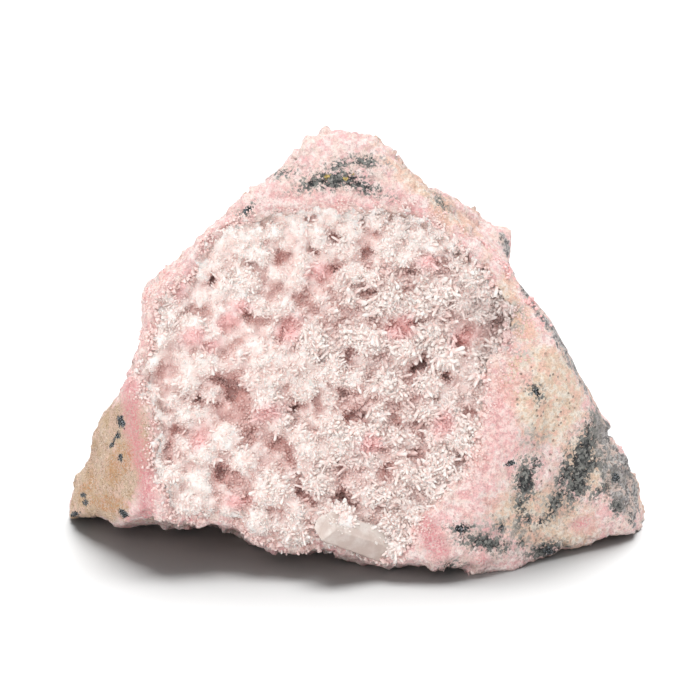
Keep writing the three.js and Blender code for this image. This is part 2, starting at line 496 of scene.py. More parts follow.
# %% Sink the bed
PITS = [  # across, up, half length, half width, turn
    (-3, 17.8, 1.5, 1.1, 10), (-16, 13.4, 1.6, 1.0, -30), (-22, 11.4, 1.2, 0.7, 0),
    (-10.6, 15.6, 1.3, 0.8, 20), (2.6, 15.8, 1.1, 0.8, 60), (9, 13, 1.8, 0.9, -15),
    (-9.2, 9.8, 1.3, 0.9, 40), (-15.5, 5.4, 2.8, 1.1, -15), (-25.3, 5, 1.3, 1.0, 0),
    (-3, 12.6, 1.5, 1.1, 0), (4, 10, 1.0, 0.9, 0), (-4.6, -1.8, 1.5, 1.0, 60),
    (16.2, -4.4, 2.0, 1.5, -40), (-18.8, -6.6, 2.6, 1.6, 30), (-25.2, -7.8, 1.6, 1.0, 0),
    (0.6, -11.2, 2.4, 2.2, 50), (7, -0.4, 1.8, 1.2, 10), (-10.2, -16.5, 1.6, 1.2, 0),
    (-21.8, -19.4, 2.8, 1.6, 15), (-27.4, -21.5, 1.5, 1.0, 30), (-6.8, -23, 2.8, 1.3, -10),
    (0, -24, 2.4, 2.6, 60), (5.4, -19, 1.6, 1.2, 0), (10.2, -17.2, 2.2, 1.3, 20),
    (-7.4, -9.2, 2.6, 0.9, 15), (11.9, -2.2, 2.6, 1.2, 10), (-1.8, -6.4, 1.7, 1.2, -30),
    (-15, -12.6, 1.8, 0.8, 40), (12, 5, 1.3, 1.0, 0), (-12.6, 1, 1.4, 0.9, 0), (19.5, 10, 1.2, 0.8, 30),
]
HOLLOWS = [(20.6, -20.8, 2.3, 0.9, 75), (18.7, -18.5, 1.2, 0.7, 110), (11.8, -22.8, 2.0, 1.2, 110)]
BED_DEPTH = 4.4  # clumps and crystals together, in millimetres
TOP_THINNER = 0.3  # the share that the crust loses towards its top
BED_SWELL = 0.8
PIT_DEPTH = 2.2


def pit_share(points):
    """1 in the open pits and 0 on the clumps, from the listed pits and some chance ones."""
    across, up, deep = on_face(points)
    listed = rise(within(across, up, PITS + HOLLOWS) + 0.4 * lumps(points, 2.6, 2), -0.55, -0.15)
    return np.maximum(listed, rise(lumps(points, 3.2, 8, 3), 0.33, 0.45))


points = points_of(block.data)
normals = normals_of(block.data)
crust = millimetres_from(rock_skin, points)
pit = pit_share(points)
basin = rise(crust, 0.45, 1.0)
across, up, deep = on_face(points)
depth = BED_DEPTH * (1 - TOP_THINNER * rise(up, 4, 20))
sink = basin * (depth + BED_SWELL * lumps(points, 10, 1) + PIT_DEPTH * pit)
move_points(block.data, points - normals * (sink * MM)[:, None])
in_pocket = rise(basin, 0.02, 0.2)
carry(block.data, "clumps", in_pocket * (1 - pit))
carry(block.data, "knobby", in_pocket)
carry(block.data, "room", np.clip((sink - 0.6) / 3.6, 0.1, 1.1))  # how large a clump may grow there
print("crust is up to", round(float(crust.max()), 1), "mm thick; pits cover",
      round(100 * float(pit[crust > 2].mean())), "% of the pocket")

# %% [markdown]
# ## Clumps
#
# Quartz in such a pocket grows over little knobs, like frost over gravel. So round knobs are scattered
# over the bed, smaller knobs over those, and a remesh melts them into one skin with real overhangs, which
# pushing the bed in and out alone could not give.

# %% Clumps
def start_tree(tree, wanted, result):
    """Gives a growth tree its named inputs and its output, and returns the first input as a wire."""
    for name, kind, value in wanted:
        socket = tree.interface.new_socket(name=name, in_out="INPUT", socket_type=kind)
        if value is not None:
            socket.default_value = value
    tree.interface.new_socket(name=result, in_out="OUTPUT", socket_type="NodeSocketGeometry")
    return Graph(tree).add("NodeGroupInput")


def carried(graph, name, kind="FLOAT"):
    """What the mesh carries at each point, for Geometry Nodes."""
    return graph.add("GeometryNodeInputNamedAttribute", {"data_type": kind}, {"Name": name})


def random_number(graph, low, high, seed):
    """A random number for each point or copy."""
    return graph.add("FunctionNodeRandomValue", {"data_type": "FLOAT"}, {2: low, 3: high, "Seed": seed}, 1)


def random_vector(graph, low, high, seed):
    """A random vector for each point or copy, with one pair of limits for its three numbers."""
    limits = {0: (low, low, low), 1: (high, high, high), "Seed": seed}
    return graph.add("FunctionNodeRandomValue", {"data_type": "FLOAT_VECTOR"}, limits)


DENSEST_CLUMPS = 2.0e6  # per square metre, before the spacing thins them out
FULL_TURN = 6.28


def scatter_balls(given, surface, spacing, crowd, size, shift):
    """Sets uneven balls on a surface, with seeds shifted from the tree's own."""
    graph = given.graph
    seed = given.more("Chance") + shift
    spots = graph.add("GeometryNodeDistributePointsOnFaces", {"distribute_method": "POISSON"},
                      {"Mesh": surface, "Distance Min": spacing, "Density Max": DENSEST_CLUMPS,
                       "Density Factor": crowd, "Seed": seed})
    ball = graph.add("GeometryNodeMeshIcoSphere", {}, {"Radius": 1.0, "Subdivisions": 3})
    uneven = random_vector(graph, 0.75, 1.15, seed)
    scale = graph.add("ShaderNodeVectorMath", {"operation": "SCALE"}, {0: uneven, "Scale": size})
    turn = graph.add("FunctionNodeEulerToRotation", {}, {0: random_vector(graph, 0, FULL_TURN, seed + 1)})
    balls = graph.add("GeometryNodeInstanceOnPoints", {},
                      {"Points": spots, "Instance": ball, "Scale": scale, "Rotation": turn})
    return graph.add("GeometryNodeRealizeInstances", {}, {"Geometry": balls})


def clump_tree():
    """Scatters round knobs over a bed, and small knobs over the knobs."""
    tree = bpy.data.node_groups.new("clumps", "GeometryNodeTree")
    wanted = [("Bed", "NodeSocketGeometry", None), ("Spacing", "NodeSocketFloat", 2.8 * MM),
              ("Smallest", "NodeSocketFloat", 1.4 * MM), ("Largest", "NodeSocketFloat", 2.8 * MM),
              ("Knob spacing", "NodeSocketFloat", 1.1 * MM), ("Knob size", "NodeSocketFloat", 0.6 * MM),
              ("Chance", "NodeSocketInt", 4)]
    given = start_tree(tree, wanted, "Clumps")
    graph = given.graph
    room = carried(graph, "room")
    clump_size = random_number(graph, given.more("Smallest"), given.more("Largest"), given.more("Chance") + 7)
    clumps = scatter_balls(given, given, given.more("Spacing"), carried(graph, "clumps"), clump_size * room, 0)
    knob_size = random_number(graph, given.more("Knob size") * 0.7, given.more("Knob size") * 1.3, 0)
    knobs = scatter_balls(given, clumps, given.more("Knob spacing"), 1.0, knob_size, 20)
    bed_knob_size = knob_size * 1.4 * (room * 0.6 + 0.4)
    knobby = carried(graph, "knobby")
    bed_knobs = scatter_balls(given, given, given.more("Knob spacing"), knobby, bed_knob_size, 30)
    both = graph.add("GeometryNodeJoinGeometry")
    for part in (knobs, clumps, bed_knobs):
        graph.feed(both.socket.node.inputs[0], part)
    graph.add("NodeGroupOutput", {}, {0: both})
    return tree


ROCK_FACE = 0.48 * MM
CLUMP_FACE = 0.37 * MM
druse = bpy.data.objects.new("druse_bed", block.data.copy())
scene.collection.objects.link(druse)
druse.modifiers.new("clumps", "NODES").node_group = clump_tree()
remesh(druse, CLUMP_FACE, 2)
remesh(block, ROCK_FACE, 2)
for piece in (block, druse):
    print(piece.name + ":", triangles(piece.data), "triangles")

# %% [markdown]
# ## Broken rock
#
# Outside the pocket the rock is broken. A hammer leaves small flat facets that tilt this way and that and
# meet in ledges. Cells do that: within each cell of scattered centres the surface is tilted by one random
# slope, so that neighbours disagree at their border. Two sizes of noise and a grit of small cells lie on
# top. The right-hand edge of the broad face is straight and nearly smooth on the specimen, so it is kept
# calm.

# %% Break the surface
RIDGE = [(24.2, 18.5), (28.6, 8.4), (32.8, 2.5), (39.4, -8.5)]  # across and up along the straight edge
RIDGE_CALM = 0.7
DENT_ACROSS, DENT_UP, DENT_REACH, DENT_DEPTH = 28.8, 10.5, 8, 1.4  # where the straight edge steps back
LEDGE_SIZES = [(9.0, 0.09, 21), (3.6, 0.12, 22)]  # cell size in millimetres, slope, seed


def tilted_cells(points, size, slope, seed):
    """Height in millimetres of facets that each tilt in their own direction."""
    shift = noise_start(seed)
    scale = 1 / (size * MM)
    nearest = [noise.voronoi(Vector(p) * scale + shift)[1][0] for p in points]
    centres = np.array([(place - shift) / scale for place in nearest])
    directions = np.array([noise.cell_vector(Vector(c) / MM * 0.37) for c in centres]) * 2 - 1
    return slope * ((points - centres) / MM * directions).sum(axis=1)


def small_cells(points, size):
    """How far each point lies from the middle of its cell, in cell sizes, for cells of so many millimetres."""
    return np.array([noise.voronoi(Vector(p) / (size * MM))[0][0] for p in points])


skin = block.data
points = points_of(skin)
normals = normals_of(skin)
crust = millimetres_from(rock_skin, points)
pocket = rise(crust, 0.4, 1.2)
bare = 1 - pocket
facing = normals @ np.array(-FACE_IN)
front = rise(facing, 0.2, 0.75)
ledges = sum(tilted_cells(points, *size) for size in LEDGE_SIZES)
sugar = lumps(points, 1.0, 5, 2)
rough = lumps(points, 2.6, 6, 3)
grit = 0.5 - small_cells(points, 1.5)
across, up, deep = on_face(points)
left_corner = rise(-across, 28, 36)
ledge_share = (0.5 + 1.3 * (1 - front)) * (1 - 0.6 * left_corner)
calm = 1 - RIDGE_CALM * rise(beside(across, up, RIDGE, 3.5), 0, 2)
dent = DENT_DEPTH * rise(1 - np.hypot(across - DENT_ACROSS, up - DENT_UP) / DENT_REACH, 0, 1)
break_up = ledge_share * ledges + 0.3 * rough + 0.2 * sugar + 0.35 * grit
points = points + normals * (bare * calm * break_up * MM)[:, None]
points = points - np.array(FACE_ACROSS) * (bare * dent * MM)[:, None]
points[:, 2] = np.maximum(points[:, 2], 0)
move_points(skin, points)
print("ledges rise up to", round(float(ledges.max()), 2), "mm")

# %% [markdown]
# ## Which mineral is where
#
# The colours follow the minerals: rose bands of rhodochrosite round the pocket, cream and buff carbonate,
# and dark grey patches of sulphide. Each is laid out as a few patches and bands in the face's axes, and
# stored at each point as millimetres inside it. The material then breaks those edges up with fine noise,
# far finer than the mesh.

# %% The minerals' patches
# Each patch is across, up, half length, half width and turn. A route is a list of (across, up) points.
ROSE_PATCHES = [
    (24.3, -11.2, 5.8, 2.6, 95), (13.4, -30.2, 4.2, 2.0, 112), (37.2, -28, 2.6, 1.3, 0),
    (27, -5, 2.6, 1.2, 60), (21, -25, 3, 1.2, 20), (-3, 12.4, 1.6, 1.3, 0), (8, 3, 1.6, 1.1, 0),
    (22, -18.5, 3.2, 1.5, 80),
]
ROSE_LEFT = [(-35.2, -6), (-34.7, -12.8), (-33.6, -17.6), (-32.6, -20), (-32.4, -24), (-33.1, -29)]
ROSE_TOP = [(-21, 19), (-16, 23.3), (-12, 25), (-6.2, 24.4), (0, 23.4), (4.4, 24.9), (8.5, 23.6), (12, 21.5)]
DEEP_ROSE = [
    (13.3, -30, 4.0, 1.8, 112), (-32.6, -15.4, 1.2, 1.2, 0), (36.8, -27.6, 1.6, 0.8, 20),
    (20.8, -33.6, 1.4, 0.8, 0),
]
CREAM = [
    (31, -27, 9, 4.5, -15), (31, -7, 8.5, 6.2, 110), (26, 6, 7, 2.2, 120), (13, 24.5, 8, 1.1, -42),
    (38, -18, 5, 4, 100),
]
BUFF = [(-41, -20, 13.5, 7.4, 60)]
RUST = [
    (-38.5, -24.5, 3.2, 1.4, -10), (-37, -18, 3.4, 1.8, 70), (-42, -22, 2, 1, 40),
    (-36, -27, 1.4, 0.8, 0),
]
ORE = [
    (-2.4, 27.2, 3.6, 1.2, 4), (-5.8, 26.8, 2.0, 0.7, 20), (1.8, 26.2, 2.6, 0.6, -20),
    (-2, 29.3, 1.2, 0.6, 20), (1.4, 30.2, 0.9, 0.6, 0), (3.1, 30.1, 0.8, 0.8, 0),
    (-10.6, 28.3, 0.8, 0.25, 8), (-16.4, 22.4, 0.8, 0.35, 40), (28.0, -21.2, 2.9, 1.4, 95),
    (29.4, -18.6, 1.2, 0.7, 60), (27.2, -24.4, 1.2, 0.7, 100), (37.0, -17.8, 6.4, 1.5, 73),
    (38.6, -18.2, 1.8, 1.0, 40), (34.4, -19.6, 3.4, 0.8, 75), (36.6, -21.5, 2.2, 1.5, 60),
    (33.0, -24.2, 2.9, 0.8, 62), (18.0, -28.5, 1.4, 0.7, 0), (21.6, -30.8, 3.2, 1.2, -10),
    (27.4, -25.2, 1.9, 0.4, 85), (28.4, -26.9, 0.8, 0.7, 0), (31.2, -32.0, 2.4, 1.1, 10),
    (29.8, -6.6, 1.1, 0.6, -50), (42.5, -20.4, 0.7, 0.6, 90), (42.7, -25, 1.0, 0.9, 90),
    (40.2, -22.4, 1.3, 0.5, 40), (16.4, -34.5, 0.7, 0.4, 0), (24.1, -28.4, 0.5, 0.4, 0),
    (27.3, -30.8, 0.4, 0.4, 0), (14.6, 23.5, 0.5, 0.2, -45),
]
JET = [  # compact black grains
    (-36.6, -11.5, 1.0, 0.6, 105), (-37.1, -13.7, 0.6, 0.45, 90), (-38, -15, 0.9, 0.25, 60),
    (-36.7, -17.2, 0.7, 0.4, 95), (-42.6, -23.2, 0.5, 0.45, 0), (-42.3, -24.4, 0.55, 0.45, 60),
    (-44.1, -26.3, 0.65, 0.55, 0), (-42.7, -26.8, 0.9, 0.35, -40), (-36.2, -26.2, 0.9, 0.5, -40),
    (-41.9, -19.5, 0.4, 0.25, 70), (-16.4, 22.4, 0.8, 0.4, 40), (19.9, 1.6, 0.7, 0.55, 0),
    (29.9, -6.8, 0.8, 0.5, -50), (42.5, -20.4, 0.7, 0.6, 90), (30.6, -27.4, 0.5, 0.45, 0),
    (24.1, -28.4, 0.45, 0.4, 0), (17.6, -28.6, 0.8, 0.5, 0), (25.5, -18.2, 0.7, 0.5, 20),
    (31.8, -32.2, 0.9, 0.6, 0), (-44.9, -9.5, 0.5, 0.2, 60),
]
BRASS = [
    (-3.7, 27.7, 0.55, 0.35, 30), (-0.7, 27.4, 0.5, 0.35, 0), (0.4, 28.2, 0.3, 0.25, 0),
    (20.1, 1.8, 0.4, 0.3, 0),
]
STREAKS = [(5.3, 30.4, 2.0, 0.12, -50), (6.1, 30.3, 2.2, 0.1, -50), (4.9, 29.4, 1.6, 0.1, -52)]
STAINS = [
    (25, -29.5, 5.5, 2.6, -10), (33.5, -23.5, 4.5, 2.6, 60), (29.5, -14, 2.5, 1.6, 0),
    (24.8, 4.8, 3.6, 3.0, 40), (25.6, 0.6, 1.6, 1.0, 0), (27.7, -0.5, 1.0, 0.7, 0), (19, 14, 3, 1.5, -30),
]
SPECKS = [(31, -8, 8.5, 5.5, 105), (26, -29, 7, 4, 0), (31, -19, 6, 5, 0), (43, -24, 5, 3, 90)]
GREY_SIDE = [(44.5, -19, 11.5, 4.4, 112)]
print("ore patches:", len(ORE), "and black grains:", len(JET))

# %% [markdown]
# ## Minerals round the back
#
# The patches only know the broad face. Past its edges the same minerals go on where broad noise is high,
# and a frayed border lets the two kinds of rule take over from each other.

# %% Store the minerals
DEEPEST = 6  # millimetres inside or outside a patch, past which a mineral no longer changes

across, up, deep = on_face(points)
far_lumps = lumps(points, 14, 31, 3)
far_veins = lumps(points, 9, 32, 3)
far_spots = lumps(points, 5, 33, 3)
border = deep + 7 * far_lumps + 3 * lumps(points, 3, 34, 3)
behind = rise(border, 9, 13) * rise(-facing, -0.5, 0.1)
none_behind = np.full(len(points), -DEEPEST)


def mineral(name, patches, far_inside, bands=()):
    """Stores how far inside a mineral each point is, from patches and bands in front and from noise behind."""
    inside = within(across, up, patches)
    for route, half_width in bands:
        inside = np.maximum(inside, beside(across, up, route, half_width))
    inside, far_inside = (np.clip(values, -DEEPEST, DEEPEST) for values in (inside, far_inside))
    carry(skin, name, (1 - behind) * inside + behind * far_inside)


mineral("deep_rose", DEEP_ROSE, none_behind, [(ROSE_LEFT, 1.3)])
mineral("brass", BRASS, 3 * (far_veins - 0.95))
mineral("jet", JET, 3 * (far_spots - 0.75))
mineral("rust", RUST, none_behind)
mineral("rose", ROSE_PATCHES, 5 * (far_veins - 0.35), [(ROSE_LEFT, 1.1), (ROSE_TOP, 0.7)])
mineral("cream", CREAM, 5 * (far_lumps - 0.1))
mineral("buff", BUFF, 5 * (-far_lumps - 0.35))
mineral("ore", ORE, 3.2 * (far_spots - 0.62))
mineral("streak", STREAKS, none_behind)
mineral("stain", STAINS, 4 * (-far_veins - 0.6))
mineral("speck", SPECKS, 5 * (far_lumps - 0.2))
mineral("grey_side", GREY_SIDE, 5 * (far_spots - 0.5), [(RIDGE, 0.55)])
carry(skin, "pocket", pocket)
carry(skin, "depth", pocket * millimetres_under(outer_skin, points))
print("minerals:", [a.name for a in skin.attributes if a.data_type == "FLOAT" and a.domain == "POINT"])

# %% [markdown]
# ## Frost past the rim
#
# The quartz does not stop at the pocket's rim: it thins out over a few millimetres into a frost of sugar
# on the bare rock. The frost reaches further at the middle of the right side and up the left edge than
# along the top.

# %% The rim's frost
FROST_REACH = 2.2
from_crust = millimetres_from(crust_solid, points)
rim_patches = rise(lumps(points, 3.5, 71, 3), -0.3, 0.3)
reach = FROST_REACH + 4.0 * rise(across, 12, 22) * rise(up, -12, -4) - 1.2 * rise(up, 14, 19)
reach = reach + rise(-across, 22, 27) * (3.5 * rise(up, -9, -4) - 1.2)
frost = (1 - rise(from_crust / reach, 0.1, 1)) * rim_patches
carry(skin, "rim", bare * frost * rise(facing, 0, 0.4) * rise(points[:, 2] / MM, 1, 2))
print("frost covers", round(100 * float((frost * bare > 0.5).mean())), "% of the rock")

# %% [markdown]
# ## The rock's pale colours
#
# Fresh rhodochrosite rock is sugary: tiny pink and white grains that each catch the light a little
# differently. So the colour starts from a pale pink with several sizes of grain, and each mineral is laid
# over it with an edge that follows the grain. The carbonates come first: cream, buff and rose, each a mix
# of near tones.

# %% Carbonate colours
def frayed(graph, name, fray, reach, soft=0.12):
    """Turns the millimetres inside a mineral into a mask whose edge is frayed by noise from 0 to 1."""
    return graph.step(graph.own(name) + (fray - 0.5) * reach, -soft, soft)


def rock_grains(graph, place):
    """The noises and cells that all the rock's minerals share."""
    return SimpleNamespace(
        broad=grain(graph, place, 7, 2), coarse=grain(graph, place, 2.6, 4, 0.6),
        blush=grain(graph, place, 2.4, 4, 0.7), medium=grain(graph, place, 0.9, 3, 0.6),
        fine=grain(graph, place, 0.35, 3, 0.65), finest=grain(graph, place, 0.2, 2, 0.7),
        sugar=cells(graph, place, 0.55, "Distance"), dots=cells(graph, place, 1.1, "Distance"),
        facets=cells(graph, place, 0.45, "Color"))


def carbonate_colour(graph, rock):
    """Pale pink rock with its cream, buff and rose parts, and a little rust."""
    pink = graph.mottle(srgb(244, 204, 202), srgb(252, 234, 230), rock.medium, 0.38, 0.6)
    pink = graph.mottle(pink, srgb(244, 221, 206), rock.coarse, 0.45, 0.6, 0.4)
    pink = graph.mottle(pink, srgb(240, 178, 180), rock.blush, 0.52, 0.64, 0.6)

    cream = graph.mottle(srgb(236, 208, 184), srgb(243, 232, 219), rock.medium, 0.4, 0.6)
    cream = graph.mottle(cream, srgb(240, 196, 178), rock.coarse, 0.5, 0.62, 0.8)
    cream = graph.mottle(cream, srgb(214, 206, 186), rock.blush, 0.55, 0.7, 0.4)
    colour = graph.blend(frayed(graph, "cream", rock.coarse, 7, 1.2), pink, cream)

    buff = graph.mottle(srgb(216, 190, 162), srgb(240, 221, 203), rock.medium, 0.4, 0.62)
    buff = graph.mottle(buff, srgb(232, 202, 184), rock.blush, 0.45, 0.6)
    buff = graph.mottle(buff, srgb(204, 170, 128), rock.coarse, 0.52, 0.6, 0.5)
    dark_specks = graph.step(rock.finest, 0.46, 0.56) * graph.step(rock.medium, 0.35, 0.55)
    buff = graph.blend(dark_specks * 0.8, buff, srgb(150, 114, 82))
    colour = graph.blend(frayed(graph, "buff", rock.medium, 4, 0.8), colour, buff)

    rose = graph.mottle(srgb(234, 172, 172), srgb(247, 212, 208), rock.medium, 0.36, 0.6)
    colour = graph.blend(frayed(graph, "rose", rock.coarse, 5, 1.3) * 0.65, colour, rose)
    deep_rose = frayed(graph, "deep_rose", rock.medium, 4, 0.7) * graph.step(rock.fine, 0.38, 0.6)
    colour = graph.blend(deep_rose * 0.8, colour, srgb(214, 132, 138))
    rust = frayed(graph, "rust", rock.medium, 3, 0.5) * graph.step(rock.fine, 0.42, 0.6)
    return graph.blend(rust * 0.7, colour, srgb(190, 130, 74))


def pocket_colour(graph, rock, colour):
    """The rock under the crust, pale at the rim and a darker brownish pink where it lies deep: partly its own
    pinker colour, partly painted shade.
    """
    pale = graph.mottle(srgb(236, 210, 202), srgb(247, 236, 229), rock.medium, 0.35, 0.65)
    pale = graph.mottle(pale, srgb(243, 205, 203), rock.broad, 0.45, 0.65, 0.6)
    # partly the rock's deeper pink, partly painted shade in the pits
    deep = graph.mottle(srgb(186, 134, 127), srgb(212, 162, 156), rock.coarse, 0.4, 0.6)
    return graph.blend(graph.own("pocket"), colour, graph.mottle(pale, deep, graph.own("depth"), 2.0, 5.0))


print("carbonate colours ready")

# %% [markdown]
# ## Grey and black minerals
#
# Sulphide fills the rock between the carbonate grains, so its patches are ragged and leave a grey halo of
# stained grains. Black compact grains and a few brassy ones lie in it. All three glint like metal, so each
# mask is kept and also drives the gloss. The pale flecks on the ore and on the black grains are painted glints.

# %% Grey and black minerals
def stained_colour(graph, rock, colour):
    """The grey right-hand side, stains, thin streaks and scattered specks."""
    grey = graph.mottle(srgb(138, 141, 142), srgb(208, 207, 204), rock.fine, 0.4, 0.62)
    grey = graph.mottle(grey, srgb(228, 206, 196), rock.coarse, 0.5, 0.56, 0.8)
    dark_grains = graph.step(rock.medium, 0.51, 0.58) * graph.step(rock.fine, 0.4, 0.5)
    grey = graph.blend(dark_grains, grey, srgb(62, 66, 69))
    colour = graph.blend(frayed(graph, "grey_side", rock.medium, 2, 0.3) * 0.9, colour, grey)
    stain = graph.step(graph.own("stain"), -1.2, 1.5) * graph.step(rock.medium, 0.42, 0.6)
    colour = graph.blend(stain * 0.75, colour, srgb(150, 142, 136))
    colour = graph.mottle(colour, srgb(150, 150, 150), graph.own("streak"), -0.1, 0.06, 0.8)
    specks = graph.step(0.24 - rock.dots + (rock.fine - 0.5) * 0.4, 0, 0.08) * graph.step(rock.coarse, 0.4, 0.5)
    return graph.blend(specks * graph.step(graph.own("speck"), -2, 2) * 0.8, colour, srgb(120, 104, 94))


def sulphide_colour(graph, rock, colour):
    """Ore, black grains and brassy grains, with painted glints on the ore and the black grains, and the masks
    of all three.
    """
    ore, jet, brass = (graph.own(name) for name in ("ore", "jet", "brass"))
    ragged = graph.step(rock.facets, 0.1, 0.9) * 0.6 + rock.medium * 0.4
    halo = graph.step(ore + (rock.fine - 0.5) * 6 + (ragged - 0.5) * 2, -1.0, 0.4)
    colour = graph.blend(halo * 0.75, colour, srgb(150, 140, 130))
    ore_edge = ore + (ragged - 0.5) * 1.6 + (rock.fine - 0.5) * 2.4 + (rock.medium - 0.5) * 1.5
    ore_share = graph.step(ore_edge, -0.12, 0.12)
    ore_grain = rock.medium * 0.6 + rock.fine * 0.4
    ore_and_glint_tone = graph.mottle(srgb(32, 34, 37), srgb(122, 124, 120), ore_grain, 0.46, 0.6)
    # painted glints: pale grey flecks on the ore's cell facets
    ore_and_glint_tone = graph.mottle(ore_and_glint_tone, srgb(168, 166, 160), rock.facets, 0.62, 0.9, 0.7)
    colour = graph.blend(ore_share, colour, ore_and_glint_tone)
    jet_share = graph.step(jet + (rock.fine - 0.5) * 1.3 + (rock.medium - 0.5) * 0.8, -0.05, 0.05)
    # painted glints: pale bluish flecks on the black grains
    jet_and_glint_tone = graph.mottle(srgb(30, 30, 31), srgb(150, 158, 164), rock.finest, 0.52, 0.62)
    colour = graph.blend(jet_share, colour, jet_and_glint_tone)
    brass_share = graph.step(brass + (rock.fine - 0.5) * 0.8, -0.06, 0.06)
    brass_tone = graph.mottle(srgb(150, 126, 66), srgb(214, 190, 124), rock.finest, 0.4, 0.6)
    return graph.blend(brass_share, colour, brass_tone), ore_share, jet_share, brass_share


print("grey and black minerals ready")

# %% [markdown]
# ## The rock's finish
#
# A last layer darkens the gaps between the grains, because a sugary stone shades itself. A bump gives the
# grains their relief, finer than the mesh. Gloss follows the minerals: the sulphide shines, the carbonate
# hardly does.

# %% Rock material
def rock_material():
    material, graph, shader, place = new_material("carbonate_rock")
    rock = rock_grains(graph, place)
    colour = pocket_colour(graph, rock, carbonate_colour(graph, rock))
    colour = stained_colour(graph, rock, colour)
    colour, ore_share, jet_share, brass_share = sulphide_colour(graph, rock, colour)

    fine_shade = graph.step(rock.fine, 0.34, 0.56) * 0.24 + graph.step(rock.finest, 0.35, 0.55) * 0.22
    shade = fine_shade + graph.step(rock.medium, 0.3, 0.6) * 0.1 + 0.56
    warm_shade = graph.add("ShaderNodeCombineXYZ", {}, {0: shade, 1: shade * 0.98, 2: shade * 0.97})
    graph.feed(shader.inputs["Base Color"], graph.blend(0.75, colour, warm_shade, "MULTIPLY"))
    graph.feed(shader.inputs["Metallic"], (ore_share + jet_share + brass_share) * 0.3)
    roughness = 0.72 - ore_share * 0.32 - graph.own("pocket") * 0.3
    graph.feed(shader.inputs["Roughness"], roughness + (rock.fine - 0.5) * 0.25)
    let_light_soak(shader, weight=0.06, radius=(1.0, 0.6, 0.55), reach=0.5)
    height = rock.sugar * 0.5 + rock.fine * 0.9 + rock.medium * 0.7 + rock.finest * 0.4
    bump = graph.add("ShaderNodeBump", {}, {"Strength": 0.9, "Distance": 0.42 * MM, "Height": height})
    graph.feed(shader.inputs["Normal"], bump)
    return material


skin.materials.clear()
skin.materials.append(rock_material())
skin.shade_smooth()
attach(block, "root")
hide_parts("matrix_rock")
print("rock:", triangles(skin), "triangles")

# %% [markdown]
# ## Seed crystals
#
# A quartz crystal is a six-sided prism under a point of six slanted faces, some of them larger. The
# crystals in a druse are all a little different, so a few seed crystals are made, each one unit high: with
# its own taper, its own uneven sides and its point off the middle. Every point of a seed also stores how
# far up the crystal it is, because the foot takes some pink from the rock and the tip is white.

# %% Seed crystals
RING_HEIGHTS = [0.0, 0.8, 0.93]  # how far up the crystal each ring counts as


def seed_crystal(name, seed, rings, uneven_sides, wobble, off_middle):
    """A closed crystal one unit high and one unit in radius, from rings of height, width and unevenness."""
    chance = np.random.default_rng(seed)
    widths = 1 + chance.uniform(-uneven_sides, uneven_sides, 6)
    corners = []
    for height, shrink, uneven in rings:
        for corner in range(6):
            turn = math.radians(60 * corner) + chance.uniform(-wobble, wobble)
            lift = height + uneven * (1 if corner % 2 else -1)
            reach = widths[corner] * shrink
            corners.append((reach * math.cos(turn), reach * math.sin(turn), lift))
    tip = (*chance.uniform(-off_middle, off_middle, 2), 1.0)
    last = len(corners) - 6
    sides = [(r + i, r + (i + 1) % 6, r + 6 + (i + 1) % 6, r + 6 + i)
             for r in range(0, last, 6) for i in range(6)]
    point = [(last + i, last + (i + 1) % 6, last + 6) for i in range(6)]
    mesh = bpy.data.meshes.new(name)
    mesh.from_pydata([*corners, tip], [], [*sides, *point, (5, 4, 3, 2, 1, 0)])
    mesh.shade_flat()
    carry(mesh, "height", np.array([*np.repeat(RING_HEIGHTS[:len(rings)], 6), 1.0]))
    return bpy.data.objects.new(name, mesh)


FOOT = (-0.12, 1.0, 0)  # below its own zero, so that the foot is buried


def blunt_seed(name, seed, taper, shoulder):
    """A crystal with a shoulder and a blunted point."""
    rings = [FOOT, (shoulder, taper, 0.04), (0.5 + shoulder / 2, 0.62 * taper, 0.02)]
    return seed_crystal(name, seed, rings, uneven_sides=0.2, wobble=0.08, off_middle=0.15)


def plain_seed(name, seed, taper, shoulder):
    """The same with one ring less, for crystals too small to show a blunted point."""
    rings = [FOOT, (shoulder, taper, 0)]
    return seed_crystal(name, seed, rings, uneven_sides=0.25, wobble=0.1, off_middle=0.25)


QUARTER_TURN = 1.571


def sugar_grain(name, seed):
    """A grain with eight faces, for the finest sugar."""
    chance = np.random.default_rng(seed)
    belt = [(math.cos(QUARTER_TURN * i) + chance.uniform(-0.2, 0.2),
             math.sin(QUARTER_TURN * i) + chance.uniform(-0.2, 0.2),
             0.4 + chance.uniform(-0.15, 0.15)) for i in range(4)]
    neighbours = [(1 + i, 1 + (i + 1) % 4) for i in range(4)]
    faces = [face for one, other in neighbours for face in ((0, other, one), (5, one, other))]
    mesh = bpy.data.meshes.new(name)
    mesh.from_pydata([(0, 0, -0.3), *belt, (0.1, 0, 1)], [], faces)
    mesh.shade_flat()
    carry(mesh, "height", np.array([0.0, *[0.5] * 4, 1.0]))
    return bpy.data.objects.new(name, mesh)


def seed_family(name, members):
    """A collection of seed crystals to pick from."""
    family = bpy.data.collections.new(name)
    for member in members:
        family.objects.link(member)
    return family


BLUNT = [(0.9, 0.82), (0.8, 0.76), (0.96, 0.86), (0.75, 0.7), (0.86, 0.8)]  # taper and height of the shoulder
PLAIN = [(0.9, 0.75), (0.8, 0.65), (0.95, 0.8)]
blunt_ones = [blunt_seed(f"seed_{n}", 40 + n, *shape) for n, shape in enumerate(BLUNT)]
plain_ones = [plain_seed(f"small_{n}", 60 + n, *shape) for n, shape in enumerate(PLAIN)]
seeds = seed_family("seed_crystals", blunt_ones)
small_seeds = seed_family("small_seeds", plain_ones)
grains = seed_family("sugar_grains", [sugar_grain(f"grain_{n}", 80 + n) for n in range(3)])
print("seeds:", [family.name for family in (seeds, small_seeds, grains)])

